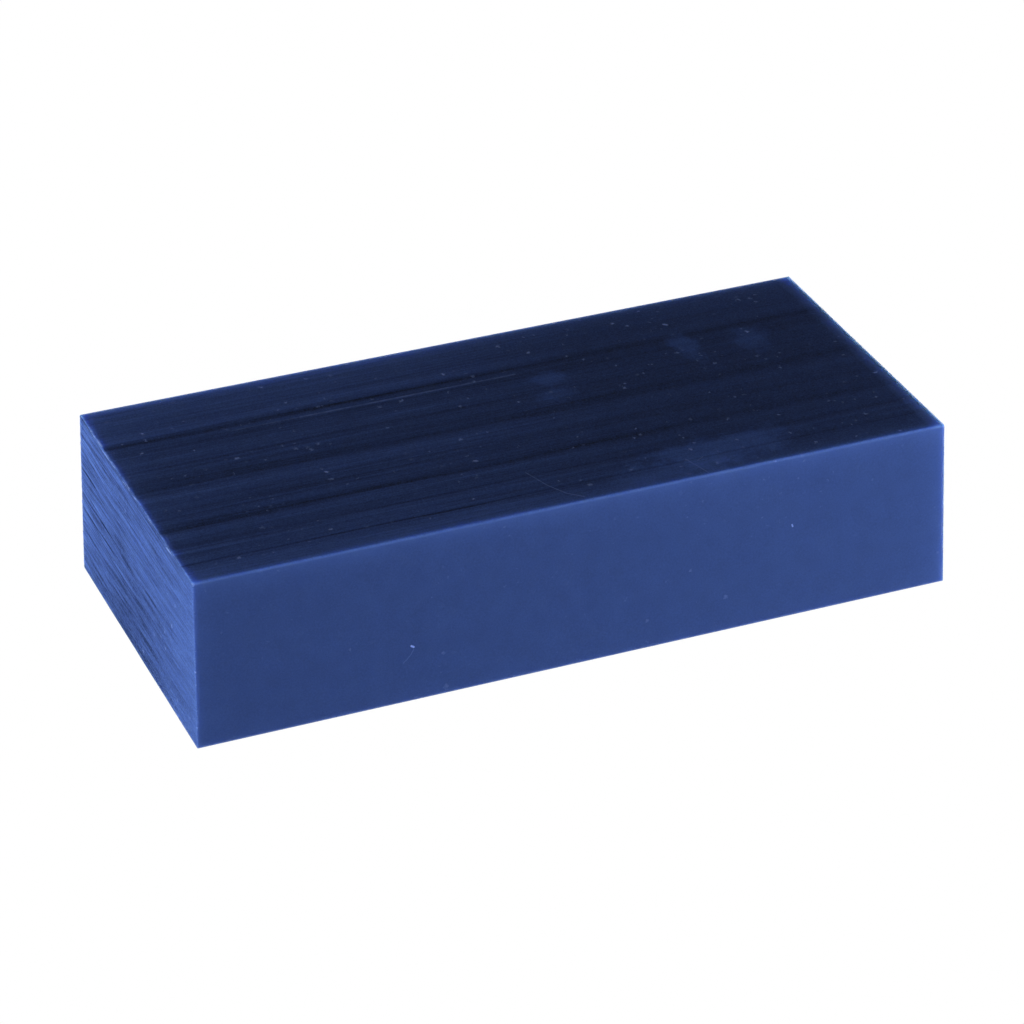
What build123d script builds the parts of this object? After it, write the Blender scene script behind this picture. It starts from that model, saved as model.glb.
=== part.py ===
from build123d import *
import os

# A bar of hard detailing clay. It is one solid block with flat faces and crisp edges.
# Millimetres, +Z up, the long way along X, a long side facing -Y.
# The origin is the middle of the bottom face, where the bar rests.

# Driving dimensions
BASE_LENGTH = 100.0     # along X, measured at the bottom face
BASE_WIDTH = 46.2       # along Y, measured at the bottom face
HEIGHT = 22.6           # bottom face to top face
SIDE_DRAFT = 1.6        # degrees that each side leans in towards the top, for release from a mould
LONG_EASE = 0.3         # radius of the four long edges, which come rounded from the mould
CUT_EASE = 0.1          # radius of the edges round the two ends, where the bar is cut to length


def cut_edges(bar):
    """The edges round the two ends of the bar."""
    left_end = bar.faces().sort_by(Axis.X)[0]
    right_end = bar.faces().sort_by(Axis.X)[-1]
    return left_end.edges() + right_end.edges()


def clay_bar():
    """The whole bar: a block that narrows slightly towards the top, with its edges eased."""
    footprint = Rectangle(BASE_LENGTH, BASE_WIDTH)
    block = extrude(footprint, amount=HEIGHT, taper=SIDE_DRAFT)
    bar = fillet(block.edges().filter_by(Axis.X), LONG_EASE)
    bar = fillet(cut_edges(bar), CUT_EASE)
    bar.label = "clay_bar"
    return bar


def write_parts():
    """Writes one STEP file for each node, named after it."""
    os.makedirs("parts", exist_ok=True)
    bar = clay_bar()
    export_step(bar, f"parts/{bar.label}.step")


write_parts()
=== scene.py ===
"""Looks of a firm blue clay bar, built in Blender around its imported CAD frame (metres, +Z up)."""

import math

import bpy
import numpy as np
from mathutils import Matrix, Vector


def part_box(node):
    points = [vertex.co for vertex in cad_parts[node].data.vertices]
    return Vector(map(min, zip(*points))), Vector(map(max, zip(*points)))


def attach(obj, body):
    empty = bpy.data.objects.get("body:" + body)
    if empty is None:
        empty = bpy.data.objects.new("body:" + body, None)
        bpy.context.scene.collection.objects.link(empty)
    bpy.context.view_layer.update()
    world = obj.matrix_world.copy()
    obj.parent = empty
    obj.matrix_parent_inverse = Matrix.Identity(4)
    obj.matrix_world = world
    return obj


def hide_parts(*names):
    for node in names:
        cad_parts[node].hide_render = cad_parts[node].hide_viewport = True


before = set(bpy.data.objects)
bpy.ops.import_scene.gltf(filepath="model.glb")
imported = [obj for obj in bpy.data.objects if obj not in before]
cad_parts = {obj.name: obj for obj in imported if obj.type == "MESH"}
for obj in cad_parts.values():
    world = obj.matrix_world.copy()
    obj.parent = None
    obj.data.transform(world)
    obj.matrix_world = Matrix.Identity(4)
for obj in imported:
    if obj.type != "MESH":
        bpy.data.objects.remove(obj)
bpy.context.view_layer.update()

MM = 0.001

# ---------------------------------------------------------------- the bar, read from the CAD node
BAR_NODE = "clay_bar"
BAR_LOW, BAR_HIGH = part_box(BAR_NODE)
BAR_SIZE = BAR_HIGH - BAR_LOW
BAR_CENTRE = (BAR_LOW + BAR_HIGH) / 2
LONG_EASE = 0.3 * MM            # the same easing as the CAD solid's long edges
CUT_EASE = 0.1 * MM             # and as its edges round the two ends

# ---------------------------------------------------------------- mesh density of the skin
SPANS_LONG = 50                 # even spans between the fine rows at the edges, along X
SPANS_WIDE = 190                # along Y, fine enough for the drawn streaks of the top
SPANS_HIGH = 104                # along Z, fine enough for the saw marks of the ends
LONG_STEPS = (0, 0.414, 1)      # rows over half of a long edge, as shares of its easing
CUT_STEPS = (0, 0.333, 0.667, 1)    # rows over the edge round an end
NEAR_EDGE = (0.2, 0.45, 0.75, 1.2, 2.2)     # extra rows beside each edge, millimetres in from the easing

# ---------------------------------------------------------------- surface marks
# Streaks drawn along the top: place across the width (0 at the back edge, 1 at the front), how far
# the streak fades in before that place and out after it, and how much paler (+) or darker (-) it is.
TOP_STREAKS = (
    (0.000, 0.010, 0.060, 0.30),
    (0.060, 0.100, 0.110, 0.42),
    (0.190, 0.080, 0.022, 0.46),
    (0.226, 0.018, 0.020, -0.62),
    (0.280, 0.014, 0.016, -0.28),
    (0.342, 0.040, 0.030, 0.18),
    (0.385, 0.012, 0.014, -0.18),
    (0.420, 0.020, 0.014, 0.04),
    (0.495, 0.060, 0.018, -0.48),
    (0.540, 0.026, 0.050, 0.28),
    (0.622, 0.022, 0.020, -0.12),
    (0.716, 0.036, 0.014, -0.58),
    (0.750, 0.018, 0.030, 0.20),
    (0.817, 0.014, 0.010, -0.28),
    (0.843, 0.012, 0.012, 0.44),
    (0.872, 0.018, 0.022, 0.24),
    (0.904, 0.007, 0.006, -0.80),
    (0.960, 0.055, 0.050, 0.52),
)
LEFT_PALE_START = 0.36               # the top is paler over its left part, and this paleness thins out from here along the bar
LEFT_PALE_END = 0.72                 # and is gone here
LEFT_PALE_TONE = 0.30
TOP_DEPTH = 0.016 * MM          # depth of the top's relief for each step of 1 in its tone
STREAK_WANDER = 0.004           # how far a streak strays from its line, as a share of the width
WANDER_STEP = 12 * MM           # and how long each stray stretch is
FINE_STEPS = (45 * MM, 0.011)   # length, and width as a share of the bar's, of the finest relief streaks
STREAK_SHARE = (0.45, 0.65)     # how strongly the streaks show outside the paler left part, and how much more within it
FINE_SHARE = (0.05, 0.08)       # and the same of the finest ones

END_DEPTH = 0.020 * MM          # depth of an end's saw marks for each step of 1 in their relief
SAW_SWAY = 0.30 * MM            # how far the saw marks bend up and down
SAW_SWAY_STEP = 9 * MM
FINE_SAW_STEPS = (7 * MM, 0.45 * MM)        # length and height of the fine ridges
BROAD_SAW_STEPS = (18 * MM, 1.3 * MM)       # and of the broad ones
FINE_SAW = 0.85                 # how far the fine ridges stand out
BROAD_SAW = 0.3
BITE_BACK = 1.25                # how deep all the saw marks are at the back, for each step of 1
BITE_LOSS = 0.8                 # and how much less they are at the front
SAWN_FOOT = 0.85                # how strongly the finest saw marks show at the foot
SAWN_RISE = 0.4                 # and how much more at the top
SCORE_STEP = 6 * MM             # length of the stretches in which a score is there or broken off
# Scores across the ends: height (0 at the base, 1 at the top), half-width and depth.
END_SCORES = (
    (0.975, 0.012, 1.2),
    (0.870, 0.012, 0.9),
    (0.770, 0.014, 1.1),
    (0.665, 0.020, 1.3),
    (0.500, 0.022, 1.5),
    (0.410, 0.012, 1.2),
    (0.175, 0.014, 0.8),
    (0.100, 0.014, 0.5),
)
END_TONE = 1.04                 # how light an end is without its marks
RIDGE_PAINTED_LIGHT_SHADE = 0.27               # and how much lighter it is painted for each step of 1 in its relief: painted light on the ridges, painted shade in the scores
FOOT_PAINTED_SHADE = 0.40                # how much darker the painted shade at its foot is
FOOT_SHADE_PLACE = 0.42               # where the painted shade lies across the end, 0 at the back and 1 at the front
FOOT_SHADE_WIDTH = 0.34               # how far it reaches to each side
FOOT_SHADE_HEIGHT = 0.55              # and up
FRONT_TONE = 0.14               # how much lighter the end grows towards the front
FRONT_START = 0.70              # from here
FRONT_SPAN = 0.30               # over this share of its width

# Painted light and shade beside the edges: how much the clay's colour is painted brighter (+) where light
# would come through an edge, or darker (-) as painted shade.
# Each glow is a sum of bells (height, centre, width) and fades (height, reach), over the distance from
# the edge in millimetres.
TOP_PAINTED_LIGHT_SHADE = {
    "front": ((1.3, 0, 0.75),),
    "back": ((0.9, 1.1), (0.2, 3.0), (-1.3, 0, 0.3)),
    "right": ((1.2, 1.0, 0.45),),
    "left": ((0.30, 1.2),),
    "any": ((0.25, 2.4),),
}
SIDE_PAINTED_LIGHT_SHADE = {
    "right": ((0.40, 1.5), (0.12, 0.45, 0.3), (-0.95, 0, 0.22)),
    "left": ((0.28, 1.3),),
    "upper": ((0.42, 1.3), (-0.12, 0, 0.2)),
    "lower": ((0.06, 1.3), (-0.30, 0, 0.2)),
}
END_PAINTED_LIGHT_SHADE = {
    "front": ((0.12, 0.6),),
    "back": ((0.10, 0.8), (0.13, 6.0)),
    "upper": ((-0.30, 0, 0.7),),
    "lower": ((-0.20, 0.4),),
}
# Painted glow: how far the top's colour is painted pale beside its edges, where light would come through
# them, in the same terms.
TOP_PAINTED_GLOW = {
    "front": ((0.10, 0.6),),
    "back": ((0.20, 0.6, 0.45),),
    "right": ((0.34, 0.40, 0.55),),
    "left": ((0.03, 1.0),),
}
PAINTED_GLOW_RISE = 0.3                # the painted glow at the right end rises from nothing over this many millimetres


FACING = -0.9                   # a polygon faces -Y when its normal's Y is below this


def side_lean(node):
    """Angle that the sides lean in, read from the largest CAD polygon that faces -Y."""
    fronts = [p for p in node.data.polygons if p.normal.y < FACING]
    return math.asin(max(fronts, key=lambda p: p.area).normal.z)


# ---------------------------------------------------------------- camera
VIEW_AZIMUTH = math.radians(22.07)     # how far the view swings from +Y towards +X
VIEW_ELEVATION = math.radians(30.03)
VIEW_ROLL = math.radians(-0.45)
VIEW_DISTANCE = 513.6 * MM
VIEW_LENS = 142.66                     # on the default 36 mm sensor
AIM_RIGHT = 0.12 * MM                  # where the view axis passes the bar's centre
AIM_UP = -1.81 * MM
NEAREST = 0.01                         # metres from the camera within which nothing is drawn
FARTHEST = 50


def make_camera():
    """A long lens above the bar's front left corner."""
    swing = (math.sin(VIEW_AZIMUTH), math.cos(VIEW_AZIMUTH))
    level = math.cos(VIEW_ELEVATION)
    back = Vector((-swing[0] * level, -swing[1] * level, math.sin(VIEW_ELEVATION)))
    level_right = Vector((swing[1], -swing[0], 0))
    level_up = back.cross(level_right)
    right = level_right * math.cos(VIEW_ROLL) + level_up * math.sin(VIEW_ROLL)
    up = back.cross(right)
    aim = BAR_CENTRE + right * AIM_RIGHT + up * AIM_UP
    data = bpy.data.cameras.new("camera")
    data.lens = VIEW_LENS
    data.clip_start = NEAREST
    data.clip_end = FARTHEST
    camera = bpy.data.objects.new("camera", data)
    turn = Matrix((right, up, back)).transposed().to_4x4()
    camera.matrix_world = Matrix.Translation(aim + back * VIEW_DISTANCE) @ turn
    bpy.context.scene.collection.objects.link(camera)
    bpy.context.scene.camera = camera


# ---------------------------------------------------------------- node helpers
class Tree:
    """Adds nodes to a node tree, with short calls for the kinds used here."""

    def __init__(self, owner):
        owner.use_nodes = True
        self.nodes = owner.node_tree.nodes
        self.links = owner.node_tree.links
        self.nodes.clear()

    def add(self, kind, settings=None, **inputs):
        """A node of a kind, with its settings, and its inputs set or linked by socket name."""
        node = self.nodes.new(kind)
        for name, value in (settings or {}).items():
            setattr(node, name, value)
        for name, value in inputs.items():
            self.feed(node.inputs[name.replace("_", " ")], value)
        return node

    def feed(self, socket, value):
        if isinstance(value, bpy.types.NodeSocket):
            self.links.new(value, socket)
        else:
            socket.default_value = value

    def math(self, operation, a, b=0.0, clamp=False):
        node = self.nodes.new("ShaderNodeMath")
        node.operation = operation
        node.use_clamp = clamp
        self.feed(node.inputs[0], a)
        self.feed(node.inputs[1], b)
        return node.outputs[0]

    def vector(self, operation, a, b, output=0):
        """Vector arithmetic, on vectors or on a vector and a number."""
        node = self.nodes.new("ShaderNodeVectorMath")
        node.operation = operation
        self.feed(node.inputs[0], a)
        self.feed(node.inputs[1], b)
        return node.outputs[output]

    def length(self, vector):
        node = self.add("ShaderNodeVectorMath", {"operation": "LENGTH"})
        self.feed(node.inputs[0], vector)
        return node.outputs["Value"]

    def from_line(self, point, start, end):
        """Distance of a point from the stretch between start and end."""
        run = end - start
        away = self.vector("SUBTRACT", point, start)
        share = self.vector("DOT_PRODUCT", away, run / run.length_squared, output="Value")
        foot = self.vector("MULTIPLY", run, self.math("ADD", share, 0.0, clamp=True))
        return self.length(self.vector("SUBTRACT", away, foot))

    def swing(self, noise, size):
        """Noise from 0 to 1 turned into a swing about 0, from -size / 2 to size / 2."""
        return self.math("MULTIPLY", self.math("SUBTRACT", noise, 0.5), size)

    def noise(self, vector, scale=1.0, detail=2.0, roughness=0.5):
        node = self.add("ShaderNodeTexNoise", Vector=vector, Scale=scale, Detail=detail)
        node.inputs["Roughness"].default_value = roughness
        return node.outputs["Fac"]

    def between(self, value, low, high, start=0.0, end=1.0):
        """A smooth step of value from low to high, giving start to end."""
        node = self.add("ShaderNodeMapRange", {"interpolation_type": "SMOOTHSTEP"}, Value=value)
        for name, number in (("From Min", low), ("From Max", high), ("To Min", start), ("To Max", end)):
            node.inputs[name].default_value = number
        return node.outputs[0]

    def mix(self, colour, other, share):
        """A colour turned into another, given as three numbers, by a share."""
        node = self.add("ShaderNodeMix", {"data_type": "RGBA"})
        self.feed(node.inputs["Factor"], share)
        self.feed(node.inputs["A"], colour)
        self.feed(node.inputs["B"], (*other, 1))
        return node.outputs["Result"]

    def attribute(self, name):
        return self.add("ShaderNodeAttribute", {"attribute_name": name}).outputs["Fac"]


# ---------------------------------------------------------------- stage and light
FLOOR_HALF = 8.0
WHITE_GLOW = 1.0        # radiance of the table top and of the backdrop
CEILING_GLOW = 0.05
BAND_SINE = 0.07        # sine of the elevation up to which the backdrop is white
DARK_SINE = 0.16        # and from which it is dark, above and below the horizon


def make_floor():
    """A wide table top lit evenly from within, as a light table is, so that it shows no shadow."""
    mesh = bpy.data.meshes.new("floor")
    corners = [(-1, -1), (1, -1), (1, 1), (-1, 1)]
    mesh.from_pydata([(x * FLOOR_HALF, y * FLOOR_HALF, BAR_LOW.z) for x, y in corners], [], [(0, 1, 2, 3)])
    floor = bpy.data.objects.new("floor", mesh)
    bpy.context.scene.collection.objects.link(floor)
    material = bpy.data.materials.new("floor_white")
    tree = Tree(material)
    shader = tree.add("ShaderNodeEmission", Strength=WHITE_GLOW)
    tree.add("ShaderNodeOutputMaterial", Surface=shader.outputs[0])
    mesh.materials.append(material)
    floor.visible_glossy = False


def make_backdrop():
    """A white band round the horizon under a dim ceiling, so that flat tops stay dark."""
    world = bpy.data.worlds.new("studio")
    bpy.context.scene.world = world
    tree = Tree(world)
    direction = tree.add("ShaderNodeTexCoord").outputs["Generated"]
    height = tree.add("ShaderNodeSeparateXYZ", Vector=direction).outputs["Z"]
    glow = tree.between(tree.math("ABSOLUTE", height), BAND_SINE, DARK_SINE, WHITE_GLOW, CEILING_GLOW)
    shader = tree.add("ShaderNodeBackground", Strength=glow)
    shader.inputs["Color"].default_value = (1, 1, 1, 1)
    tree.add("ShaderNodeOutputWorld", Surface=shader.outputs[0])


# Softboxes round the bar: name, azimuth (0 is in front of the bar, 90 is to its right), elevation,
# distance, width and height in metres, and power in watts. The strips stand no higher than the bar,
# so they light its sides and leave its top dark.
SOFTBOXES = (
    ("left_box", -95, 8, 0.22, 0.12, 0.060, 0.265),
    ("right_box", 50, 8, 0.22, 0.12, 0.060, 0.20),
    ("front_box", 20, 8, 0.22, 0.12, 0.060, 0.042),
    ("right_strip", 98, 0, 0.25, 0.15, 0.018, 0.42),
    ("back_strip", 180, 0, 0.30, 0.30, 0.018, 0.42),
)


def make_softboxes():
    """Low wide lamps aimed at the bar's middle."""
    for name, azimuth, elevation, distance, width, height, power in SOFTBOXES:
        turn, rise = math.radians(azimuth), math.radians(elevation)
        level = math.cos(rise)
        back = Vector((math.sin(turn) * level, -math.cos(turn) * level, math.sin(rise)))
        data = bpy.data.lights.new(name, "AREA")
        data.shape = "RECTANGLE"
        data.size, data.size_y = width, height
        data.energy = power
        lamp = bpy.data.objects.new(name, data)
        lamp.location = BAR_CENTRE + back * distance
        lamp.rotation_mode = "QUATERNION"
        lamp.rotation_quaternion = back.to_track_quat("Z", "Y")
        lamp.visible_camera = False
        lamp.visible_glossy = False
        bpy.context.scene.collection.objects.link(lamp)


# ---------------------------------------------------------------- numpy helpers for the skin
def ease(share):
    """Smooth step from 0 to 1."""
    share = np.clip(share, 0, 1)
    return share * share * (3 - 2 * share)


def bell(gap, centre, width):
    """A bump of height 1 at a distance from an edge."""
    return np.exp(-((gap - centre) / width) ** 2)


def fade(gap, reach):
    """A glow of height 1 at an edge, that dies away over a reach."""
    return np.exp(-gap / reach)


def glow(gap, terms):
    """The sum of bells (height, centre, width) and fades (height, reach)."""
    total = np.zeros_like(gap)
    for height, *shape in terms:
        kind = bell if len(shape) == 2 else fade
        total += height * kind(gap, *shape)
    return total


def soft_noise(seed, u, v, u_step, v_step):
    """Smooth noise from -1 to 1 over two coordinates, with features about u_step by v_step."""
    random = np.random.default_rng(seed)
    u_place, v_place = (u - u.min()) / u_step, (v - v.min()) / v_step
    lattice = random.uniform(-1, 1, (int(u_place.max()) + 2, int(v_place.max()) + 2))
    u_cell, v_cell = u_place.astype(int), v_place.astype(int)
    u_share, v_share = ease(u_place - u_cell), ease(v_place - v_cell)
    near = lattice[u_cell, v_cell] * (1 - v_share) + lattice[u_cell, v_cell + 1] * v_share
    far = lattice[u_cell + 1, v_cell] * (1 - v_share) + lattice[u_cell + 1, v_cell + 1] * v_share
    return near * (1 - u_share) + far * u_share


def grid_rows(half, spans, ease_size, steps):
    """Places of the grid's rows along one axis: even, with finer rows beside and over each edge."""
    flat = half - ease_size
    beside = flat - np.array(NEAR_EDGE[::-1]) * MM
    middle = np.linspace(-beside[0], beside[0], spans + 1)
    outer = np.concatenate([beside[1:], flat + ease_size * np.array(steps)])
    return np.concatenate([-outer[::-1], middle, outer])


def grid_shell(counts):
    """The points on the skin of a block grid, as whole-number places, and the quads that join them."""
    place = np.indices(counts).reshape(3, -1).T
    last = np.array(counts) - 1
    on_skin = ((place == 0) | (place == last)).any(axis=1)
    number = np.full(len(place), -1)
    number[on_skin] = np.arange(on_skin.sum())
    number = number.reshape(counts)
    quads = []
    for axis in range(3):
        for side in (0, -1):
            sheet = np.take(number, side, axis=axis)
            ring = [sheet[:-1, :-1], sheet[1:, :-1], sheet[1:, 1:], sheet[:-1, 1:]]
            outward = (side == -1) != (axis == 1)
            ring = ring if outward else ring[::-1]
            quads.append(np.stack([r.ravel() for r in ring], axis=1))
    return place[on_skin], np.concatenate(quads)


# ---------------------------------------------------------------- the bar's skin
FINE_SEED = 11          # seeds of the noises: each seed is used for one pattern alone
END_SEEDS = {-1: 21, 1: 31}     # by the side along X, with the two numbers after each
STREAK_SEED = 40        # and one number for each streak
SCORE_SEED = 60         # and one for each score


def top_tone(x, along, across):
    """How pale the top's drawn streaks and its paler left part make it: 1 is plain clay."""
    left_pale = 1 - ease((along - LEFT_PALE_START) / (LEFT_PALE_END - LEFT_PALE_START))
    streaks = np.zeros_like(across)
    for number, (place, before, after, change) in enumerate(TOP_STREAKS):
        wander = STREAK_WANDER * soft_noise(STREAK_SEED + number, x, x, WANDER_STEP, WANDER_STEP)
        gap = across - place - wander
        width = np.where(gap < 0, before, after)
        streaks += change * (1 - ease(np.abs(gap) / width))
    fine = soft_noise(FINE_SEED, x, across, *FINE_STEPS)
    streaks *= STREAK_SHARE[0] + STREAK_SHARE[1] * left_pale
    fine *= FINE_SHARE[0] + FINE_SHARE[1] * left_pale
    return 1 + LEFT_PALE_TONE * left_pale + streaks + fine


def end_relief(seed, y, z, up):
    """Height of the saw marks of one end, from about -1 to 1: fine ridges, and a few long scores."""
    sway = z + SAW_SWAY * soft_noise(seed, y, y, SAW_SWAY_STEP, SAW_SWAY_STEP)
    fine = soft_noise(seed + 1, y, sway, *FINE_SAW_STEPS)
    broad = soft_noise(seed + 2, y, sway, *BROAD_SAW_STEPS)
    scores = np.zeros_like(z)
    for number, (place, width, depth) in enumerate(END_SCORES):
        broken = ease(0.5 + soft_noise(SCORE_SEED + number, y, y, SCORE_STEP, SCORE_STEP))
        scores = np.maximum(scores, depth * broken * (1 - ease(np.abs(up - place) / width)))
    return FINE_SAW * fine + BROAD_SAW * broad - scores


def end_tone(relief, across, up):
    """How pale an end's colour is: painted light on its ridges, painted shade in its scores and painted
    shade at its foot.
    """
    foot_shade = np.exp(-(((across - FOOT_SHADE_PLACE) / FOOT_SHADE_WIDTH) ** 2) - (up / FOOT_SHADE_HEIGHT) ** 2)
    front = ease((across - FRONT_START) / FRONT_SPAN)
    return END_TONE + RIDGE_PAINTED_LIGHT_SHADE * relief - FOOT_PAINTED_SHADE * foot_shade + FRONT_TONE * front


def either(first, gap, glows, first_name, second_name):
    """The glow of one edge where first holds, and of the opposite edge elsewhere."""
    return np.where(first, glow(gap, glows[first_name]), glow(gap, glows[second_name]))


def painted_edge_light_shade(point, top, long_gap, cut_gap):
    """Painted light and shade beside the edges of the top and the long sides: how much brighter or darker
    their colour is painted.
    """
    x, y, z = point.T
    over = either(y < 0, long_gap, TOP_PAINTED_LIGHT_SHADE, "front", "back")
    over += either(x > 0, cut_gap, TOP_PAINTED_LIGHT_SHADE, "right", "left")
    over += glow(cut_gap, TOP_PAINTED_LIGHT_SHADE["any"]) + glow(long_gap, TOP_PAINTED_LIGHT_SHADE["any"])
    beside = either(x > 0, cut_gap, SIDE_PAINTED_LIGHT_SHADE, "right", "left")
    beside += either(z > 0, long_gap, SIDE_PAINTED_LIGHT_SHADE, "upper", "lower")
    return top * over + (1 - top) * beside


def painted_end_light_shade(point, gap):
    """Painted light and shade beside the edges of the two ends: how much brighter or darker their colour
    is painted.
    """
    upright = either(point[:, 1] > 0, gap[:, 1], END_PAINTED_LIGHT_SHADE, "back", "front")
    return upright + either(point[:, 2] > 0, gap[:, 2], END_PAINTED_LIGHT_SHADE, "upper", "lower")


def painted_top_glow(point, top, long_gap, cut_gap):
    """Painted glow: how far the top's colour is painted pale beside its edges."""
    x, y = point[:, 0], point[:, 1]
    rise = np.where(x > 0, np.clip(cut_gap / PAINTED_GLOW_RISE, 0, 1), 1)
    painted_glow = rise * either(x > 0, cut_gap, TOP_PAINTED_GLOW, "right", "left")
    return top * (painted_glow + either(y < 0, long_gap, TOP_PAINTED_GLOW, "front", "back"))


def eased_block(raw, half):
    """A block grid with its edges eased, and the way out from each point of its skin."""
    spread = raw[:, 1:] - np.clip(raw[:, 1:], LONG_EASE - half[1:], half[1:] - LONG_EASE)
    reach = np.linalg.norm(spread, axis=1)
    reach[reach == 0] = 1
    skin = raw.copy()
    skin[:, 1:] += spread * (np.abs(spread).max(axis=1) / reach - 1)[:, None]

    flat = half[0] - CUT_EASE
    turn = math.pi / 2 * np.clip((np.abs(raw[:, 0]) - flat) / CUT_EASE, 0, 1)
    skin[:, 0] = np.sign(raw[:, 0]) * (np.minimum(np.abs(raw[:, 0]), flat) + CUT_EASE * np.sin(turn))
    skin[:, 1:] *= 1 - (CUT_EASE * (1 - np.cos(turn)))[:, None] / half[1:]

    outward = np.empty_like(raw)
    outward[:, 0] = np.sign(raw[:, 0]) * np.sin(turn)
    outward[:, 1:] = spread * (np.cos(turn) / reach)[:, None]
    return skin, outward


def make_bar():
    """One closed skin over the CAD block, with real relief for its streaks, saw marks and worn edges."""
    half = np.array(BAR_SIZE) / 2
    rows = [
        grid_rows(half[0], SPANS_LONG, CUT_EASE, CUT_STEPS),
        grid_rows(half[1], SPANS_WIDE, LONG_EASE, LONG_STEPS),
        grid_rows(half[2], SPANS_HIGH, LONG_EASE, LONG_STEPS),
    ]
    place, quads = grid_shell([len(r) for r in rows])
    raw = np.stack([rows[axis][place[:, axis]] for axis in range(3)], axis=1)
    skin, outward = eased_block(raw, half)

    x, y, z = raw.T
    along = x / BAR_SIZE.x + 0.5
    across = 0.5 - y / BAR_SIZE.y
    up = z / BAR_SIZE.z + 0.5
    top = np.clip(outward[:, 2], 0, 1)
    tone = 1 + top * (top_tone(x, along, across) - 1)
    drop = TOP_DEPTH * top * (tone.max() - tone)
    ends = np.abs(outward[:, 0])
    bite = BITE_BACK - BITE_LOSS * across
    sawn = ends * bite * (SAWN_FOOT + SAWN_RISE * up)
    for sign, seed in END_SEEDS.items():
        this_end = np.clip(sign * outward[:, 0], 0, 1)
        relief = bite * end_relief(seed, y, z, up)
        # the ends' colour, with painted light on the saw ridges and painted shade in the scores and at the
        # foot
        tone += this_end * (end_tone(relief, across, up) - 1)
        drop += END_DEPTH * this_end * (relief.max() - relief)
    skin -= outward * drop[:, None]

    # millimetres from each point to the long edges, and to the edges round the ends
    gap = (half - np.abs(raw)) / MM
    long_gap = np.maximum(gap[:, 1], gap[:, 2])
    cut_gap = np.maximum(gap[:, 0], np.minimum(gap[:, 1], gap[:, 2]))
    # painted light and shade beside the edges, added to the colour's tone
    tone += (1 - ends) * painted_edge_light_shade(raw, top, long_gap, cut_gap) + ends * painted_end_light_shade(raw, gap)
    # painted glow: how far the top's colour is painted pale beside its edges
    painted_glow = painted_top_glow(raw, top, long_gap, cut_gap)

    lean = math.tan(side_lean(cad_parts[BAR_NODE]))
    for axis in (0, 1):
        skin[:, axis] *= 1 - lean * (skin[:, 2] + half[2]) / half[axis]
    skin += np.array(BAR_CENTRE)

    mesh = bpy.data.meshes.new("bar_skin")
    mesh.from_pydata(skin.tolist(), [], quads.tolist())
    layers = {"tone": tone, "painted_glow": painted_glow, "top": top, "ends": ends, "sawn": sawn}
    layers |= {"long_gap": long_gap, "cut_gap": cut_gap}
    for name, values in layers.items():
        mesh.attributes.new(name, "FLOAT", "POINT").data.foreach_set("value", values)
    mesh.shade_smooth()
    bar = bpy.data.objects.new("bar_skin", mesh)
    bpy.context.scene.collection.objects.link(bar)
    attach(bar, "root")
    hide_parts(BAR_NODE)
    return bar


# ---------------------------------------------------------------- the clay
CLAY_BLUE = (0.0405, 0.078, 0.25)        # linear colour of a clean face
PALE_BLUE = (0.33, 0.47, 1.00)          # colour of scuffs, specks and scratches
PAINTED_GLOW_BLUE = (0.24, 0.46, 0.58)          # colour of the painted glow along the top's edges
SCATTER_DEPTH = 2.0 * MM                # how far light wanders inside the clay
BUMP_DEPTH = 0.016 * MM
DARKEST_TONE = 0.25

# Patterns of the surface. A scale is in turns per millimetre, and a stretch holds the scales along X, Y
# and Z. A tone is how much lighter or darker the pattern makes the clay, from its lowest to its highest.
GRAIN = {"scale": 4.5, "detail": 3.0, "roughness": 0.8}
GRAIN_TONE = (0.6, 2.7)                 # on the sides and on the top
END_GRAIN_TONE = 1.2                    # and how much more on the ends than on the sides
CLOUD = {"scale": 0.35, "detail": 3.0}
CLOUD_TONE = 0.26
STREAK_STRETCH = (0.05, 2.4, 0.5)       # drawn along the bar
STREAK = {"detail": 3.0, "roughness": 0.65}
STREAK_TONE = 1.8
STREAK_FADE = (-10, 32, 1.0, 0.35)      # they fade along X: from, to (mm), and what is left at each
SAW_STRETCH = (0.5, 0.10, 4.6)          # drawn across the ends
SAW = {"detail": 4.0, "roughness": 0.7}
SAW_CONTRAST = (0.28, 0.72)             # the noise's range that is spread over 0 to 1
SAW_TONE = 1.0
EDGE_PAINTED_HIGHLIGHT = (0.10, 0.45, 0.12, 0.0)        # painted highlight: the long edges are painted paler, from, to (mm), and how much at each
RAGGED = {"scale": 0.42, "detail": 5.0, "roughness": 0.6}
RAGGED_SWING = 1.9                      # how far a smudge's border strays, as a share of its size
SMUDGE_BORDER = (0.45, 1.35)            # a smudge fades out between these shares of its size
SCRATCH_CORE = 0.35                     # a scratch is at its strongest over this share of its width
UNEVEN_SCALE = 0.6                      # the top's scratches come and go over stretches of this scale
UNEVEN = (0.38, 0.60, 0.55, 1.25)       # noise from, to, and the strength at each

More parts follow.
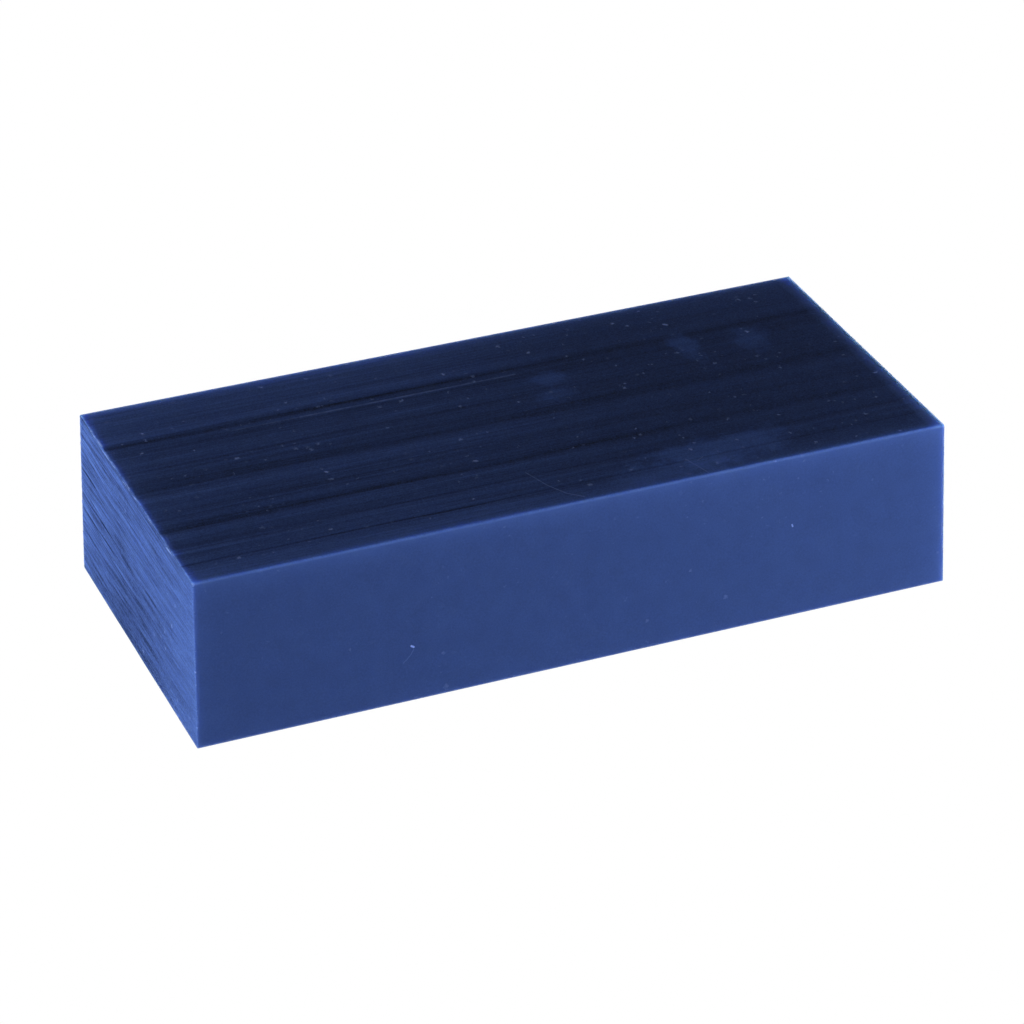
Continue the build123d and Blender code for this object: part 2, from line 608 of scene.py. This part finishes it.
# Dust: the specks lie in the cells of a lattice, crowded where a broad noise is high.
CROWD = {"scale": 0.13, "detail": 2.0}
CROWDING = (0.45, 0.60, 0.1, 2.3)       # noise from, to, and how many times the usual share at each
BEND_SCALE = 2.2                        # a noise bends the lattice, so that the specks are not round
BEND = (0.9, 0.9, 0.9)                  # by up to this many millimetres
LARGE_SPECKS = (1.5, 0.41, 0.14)        # cell and size in millimetres, and the share of cells with a speck
SMALL_SPECKS = (0.8, 0.25, 0.09)
SMALL_SHIFT = (7.3, 1.9, 4.1)           # moves the small specks' lattice off the large ones'
SMALL_STRENGTH = 0.7
SPECK_CORE = 0.2                        # a speck is at its strongest over this share of its size
SPECK_STRENGTH = (0.3, 1.0, 0.15, 1.0)  # a cell's chance from, to, and the strength at each
SIDE_DUST = 0.15                        # how much of the dust is on the sides

# Nicks: flecks of a stretched noise, let through near the edges round the ends.
FLECK_STRETCH = (2.0, 0.34, 4.5)
FLECK = {"detail": 3.0, "roughness": 0.7}
NICK_CROWD = {"scale": 0.12, "detail": 1.0}
NICK_CROWDING = (0.42, 0.60, -0.12, 0.03)
NICK_REACH = (0.05, 0.75, 0.22, 0.0)    # distance from the edge from, to (mm), and the push at each
NICK_DEPTHS = (1.2, 0.4)                # below the top from, to (mm): the flecks are fewer lower down
NICK_LOSS = (-0.07, 0.0)                # by this push at each
NICK_LEVEL = (0.76, 0.88, 0.0, 0.45)    # the sum from, to, and the nick's strength at each

ROUGHNESS = 0.50                        # of a clean side
END_ROUGHNESS = 0.15                    # what the ends add to it
STREAK_ROUGHNESS = 0.25                 # how far the streaks swing it
MARK_ROUGHNESS = 0.2                    # what smudges and scuffs add
SHINE = (0.10, 0.02)                    # specular level of the sides and top, and of the ends
SAW_BUMP = 2.0                          # height of the finest saw marks, beside 1 for the streaks
GRAIN_BUMP = 0.5

# Dull finger smudges on the top: place along and across (0 to 1), half-length and half-width in
# millimetres, and strength.
SMUDGES = (
    (0.585, 0.325, 2.6, 1.9, 0.70),
    (0.580, 0.415, 3.2, 1.7, 0.50),
    (0.785, 0.300, 1.8, 3.6, 0.75),
    (0.872, 0.325, 2.3, 3.2, 0.60),
    (0.710, 0.870, 9.5, 3.4, 0.85),
    (0.640, 0.925, 7.5, 2.2, 0.55),
)
# Scratches on the top: width in millimetres, strength, and the points that each runs through, as
# places along the bar and across it.
TOP_SCRATCHES = (
    (0.22, 0.10, ((0.160, 0.243), (0.168, 0.264), (0.260, 0.264))),
    (0.24, 0.23, ((0.260, 0.264), (0.550, 0.264))),
    (0.10, 0.34, ((0.466, 0.786), (0.478, 0.870), (0.492, 0.930), (0.509, 0.965))),
    (0.10, 0.34, ((0.660, 0.885), (0.672, 0.975))),
    (0.09, 0.24, ((0.672, 0.905), (0.682, 0.890))),
)
# Chips in the front side, the first with a faint scratch below it, as places along and up the side.
FRONT_SCRATCHES = (
    (0.17, 0.65, ((0.276, 0.343), (0.279, 0.334))),
    (0.09, 0.08, ((0.279, 0.320), (0.275, 0.291), (0.270, 0.267), (0.265, 0.249))),
    (0.14, 0.50, ((0.784, 0.579), (0.785, 0.567))),
)


def on_top(along, across):
    """A point of the top face in millimetres, from its place along the bar and across from the back."""
    x = BAR_LOW.x + along * BAR_SIZE.x
    y = BAR_HIGH.y - across * BAR_SIZE.y
    return Vector((x, y, 0)) / MM


def on_front(along, up):
    """A point of the front side in millimetres, from its place along the bar and up from its base."""
    x = BAR_LOW.x + along * BAR_SIZE.x
    z = BAR_LOW.z + up * BAR_SIZE.z
    return Vector((x, 0, z)) / MM


def scratch_marks(tree, flat, scratches, on_face):
    """How strongly each point of a face is scratched, from 0 to 1."""
    marks = 0.0
    for width, strength, places in scratches:
        points = [on_face(*place) for place in places]
        for start, end in zip(points, points[1:]):
            distance = tree.from_line(flat, start, end)
            mark = tree.between(distance, SCRATCH_CORE * width, width, strength, 0.0)
            marks = tree.math("MAXIMUM", mark, marks)
    return marks


def smudge_marks(tree, flat, ragged):
    """How dulled each point of the top is by finger smudges, with ragged borders."""
    marks = 0.0
    for along, across, half_length, half_width, strength in SMUDGES:
        away = tree.vector("SUBTRACT", flat, on_top(along, across))
        away = tree.vector("DIVIDE", away, (half_length, half_width, 1))
        distance = tree.math("ADD", tree.length(away), ragged)
        marks = tree.math("ADD", marks, tree.between(distance, *SMUDGE_BORDER, strength, 0.0))
    return marks


def speck_marks(tree, place, crowd, cell, size, share):
    """Pale dust specks of mixed strength: a share of the cells of a fine lattice holds one."""
    node = tree.add("ShaderNodeTexVoronoi", Vector=place, Scale=1 / cell)
    speck = tree.between(node.outputs["Distance"], SPECK_CORE * size / cell, size / cell, 1.0, 0.0)
    chance = tree.add("ShaderNodeSeparateColor", Color=node.outputs["Color"])
    held = tree.math("LESS_THAN", chance.outputs["Red"], tree.math("MULTIPLY", crowd, share))
    strength = tree.between(chance.outputs["Green"], *SPECK_STRENGTH)
    return tree.math("MULTIPLY", tree.math("MULTIPLY", speck, held), strength)


def dust(tree, place, top):
    """Large and small specks, in loose clusters, thick on the top and thin on the sides."""
    crowd = tree.between(tree.noise(place, **CROWD), *CROWDING)
    push = tree.add("ShaderNodeTexNoise", Vector=place, Scale=BEND_SCALE).outputs["Color"]
    bent = tree.vector("ADD", place, tree.vector("MULTIPLY", push, BEND))
    large = speck_marks(tree, bent, crowd, *LARGE_SPECKS)
    small = speck_marks(tree, tree.vector("ADD", bent, SMALL_SHIFT), crowd, *SMALL_SPECKS)
    marks = tree.math("MAXIMUM", large, tree.math("MULTIPLY", small, SMALL_STRENGTH))
    return tree.math("MULTIPLY", marks, tree.between(top, 0.0, 1.0, SIDE_DUST, 1.0))


def nicks(tree, place, height, cut_gap):
    """Pale flecks where the saw has chipped the edges round the ends, mostly along their tops."""
    flecks = tree.noise(tree.vector("MULTIPLY", place, FLECK_STRETCH), **FLECK)
    crowd = tree.between(tree.noise(place, **NICK_CROWD), *NICK_CROWDING)
    reach = tree.between(cut_gap, *NICK_REACH)
    low, high = (BAR_HIGH.z / MM - depth for depth in NICK_DEPTHS)
    upper = tree.between(height, low, high, *NICK_LOSS)
    level = tree.math("ADD", tree.math("ADD", flecks, crowd), tree.math("ADD", reach, upper))
    return tree.between(level, *NICK_LEVEL)


class Clay:
    """The patterns that the clay's colour, gloss and bumps share, as sockets of one node tree."""

    def __init__(self, tree):
        self.tree = tree
        self.top = tree.attribute("top")
        self.ends = tree.attribute("ends")
        self.sawn = tree.attribute("sawn")
        metres = tree.add("ShaderNodeTexCoord").outputs["Object"]
        self.place = tree.vector("MULTIPLY", metres, (1 / MM,) * 3)     # in millimetres
        axes = tree.add("ShaderNodeSeparateXYZ", Vector=self.place)
        self.x, self.y, self.z = (axes.outputs[axis] for axis in "XYZ")
        self.flat = tree.vector("MULTIPLY", self.place, (1, 1, 0))      # the same, without its height
        self.grain = tree.noise(self.place, **GRAIN)
        self.cloud = tree.noise(self.place, **CLOUD)
        self.streak = tree.noise(tree.vector("MULTIPLY", self.place, STREAK_STRETCH), **STREAK)
        saw = tree.noise(tree.vector("MULTIPLY", self.place, SAW_STRETCH), **SAW)
        self.saw = tree.between(saw, *SAW_CONTRAST)
        self.smudges = self.find_smudges()
        self.scratches = self.find_scratches()

    def find_smudges(self):
        """The smudges of the top."""
        tree = self.tree
        ragged = tree.swing(tree.noise(self.place, **RAGGED), RAGGED_SWING)
        return tree.math("MULTIPLY", smudge_marks(tree, self.flat, ragged), self.top)

    def find_scratches(self):
        """The scratches of the top, uneven along their length, and the chips of the front side."""
        tree = self.tree
        scratches = tree.math("MULTIPLY", scratch_marks(tree, self.flat, TOP_SCRATCHES, on_top), self.top)
        uneven = tree.between(tree.noise(self.place, UNEVEN_SCALE), *UNEVEN)
        scratches = tree.math("MULTIPLY", scratches, uneven)
        upright = tree.vector("MULTIPLY", self.place, (1, 0, 1))
        front = tree.math("LESS_THAN", self.y, 0.0)
        chips = tree.math("MULTIPLY", scratch_marks(tree, upright, FRONT_SCRATCHES, on_front), front)
        return tree.math("MAXIMUM", scratches, chips)


def clay_tone(clay):
    """How light the plain clay is: 1 is clean, less is darker. It holds the painted highlight along the
    long edges, and the painted light and shade of the edges and ends.
    """
    tree = clay.tree
    coarse = tree.between(clay.top, 0.0, 1.0, *GRAIN_TONE)
    coarse = tree.math("ADD", coarse, tree.math("MULTIPLY", clay.ends, END_GRAIN_TONE))
    fine_streaks = tree.between(clay.x, *STREAK_FADE)
    fine_streaks = tree.math("MULTIPLY", tree.swing(clay.streak, STREAK_TONE), fine_streaks)
    parts = (
        tree.math("MULTIPLY", tree.swing(clay.grain, 1.0), coarse),
        tree.swing(clay.cloud, CLOUD_TONE),
        tree.math("MULTIPLY", fine_streaks, clay.top),
        tree.math("MULTIPLY", tree.swing(clay.saw, SAW_TONE), clay.sawn),
        tree.math("ADD", clay.smudges, clay.scratches),
        # painted highlight along the long edges
        tree.between(tree.attribute("long_gap"), *EDGE_PAINTED_HIGHLIGHT),
    )
    tone = tree.attribute("tone")
    for part in parts:
        tone = tree.math("ADD", tone, part)
    return tree.math("MAXIMUM", tone, DARKEST_TONE)


def clay_scuffs(clay):
    """How strongly each point is covered by scratches, specks or nicks, from 0 to 1."""
    tree = clay.tree
    scuffs = tree.math("MAXIMUM", clay.scratches, dust(tree, clay.place, clay.top))
    nicked = nicks(tree, clay.place, clay.z, tree.attribute("cut_gap"))
    return tree.math("MAXIMUM", scuffs, nicked, clamp=True)


def clay_roughness(clay, scuffs):
    """Roughness: the ends, the smudges and the scuffs are duller."""
    tree = clay.tree
    rough = tree.math("ADD", ROUGHNESS, tree.math("MULTIPLY", clay.ends, END_ROUGHNESS))
    rough = tree.math("ADD", rough, tree.swing(clay.streak, STREAK_ROUGHNESS))
    rough = tree.math("ADD", rough, tree.math("MULTIPLY", clay.smudges, MARK_ROUGHNESS))
    return tree.math("ADD", rough, tree.math("MULTIPLY", scuffs, MARK_ROUGHNESS))


def clay_bump(clay):
    """The finest relief: streaks on the top, saw marks on the ends, grain, and cut scratches."""
    tree = clay.tree
    height = tree.math("MULTIPLY", tree.swing(clay.streak, 1.0), clay.top)
    height = tree.math("ADD", height, tree.math("MULTIPLY", tree.swing(clay.saw, SAW_BUMP), clay.sawn))
    height = tree.math("ADD", height, tree.swing(clay.grain, GRAIN_BUMP))
    height = tree.math("SUBTRACT", height, clay.scratches)
    bump = tree.add("ShaderNodeBump", Height=height)
    bump.inputs["Strength"].default_value = 1.0
    bump.inputs["Distance"].default_value = BUMP_DEPTH
    return bump.outputs[0]


def clay_material():
    """Firm, slightly translucent blue clay with its streaks, saw marks, smudges, scratches and dust, and
    painted light, shade and glow beside its edges.
    """
    material = bpy.data.materials.new("blue_clay")
    tree = Tree(material)
    clay = Clay(tree)
    clean = tree.vector("MULTIPLY", CLAY_BLUE, clay_tone(clay))
    scuffs = clay_scuffs(clay)
    # the clean colour turned pale by the painted glow along the top's edges, then by the scuffs
    colour = tree.mix(tree.mix(clean, PAINTED_GLOW_BLUE, tree.attribute("painted_glow")), PALE_BLUE, scuffs)
    shader = tree.add("ShaderNodeBsdfPrincipled", Normal=clay_bump(clay), Base_Color=colour)
    tree.feed(shader.inputs["Roughness"], clay_roughness(clay, scuffs))
    shader.subsurface_method = "RANDOM_WALK"
    tree.feed(shader.inputs["Subsurface Weight"], tree.math("SUBTRACT", 1.0, scuffs))
    shader.inputs["Subsurface Radius"].default_value = (1, 1, 1)
    shader.inputs["Subsurface Scale"].default_value = SCATTER_DEPTH
    tree.feed(shader.inputs["Specular IOR Level"], tree.between(clay.ends, 0.0, 1.0, *SHINE))
    tree.add("ShaderNodeOutputMaterial", Surface=shader.outputs[0])
    return material


make_camera()
make_floor()
make_backdrop()
make_softboxes()
bar = make_bar()
bar.data.materials.append(clay_material())
bpy.context.scene.view_settings.view_transform = "Standard"
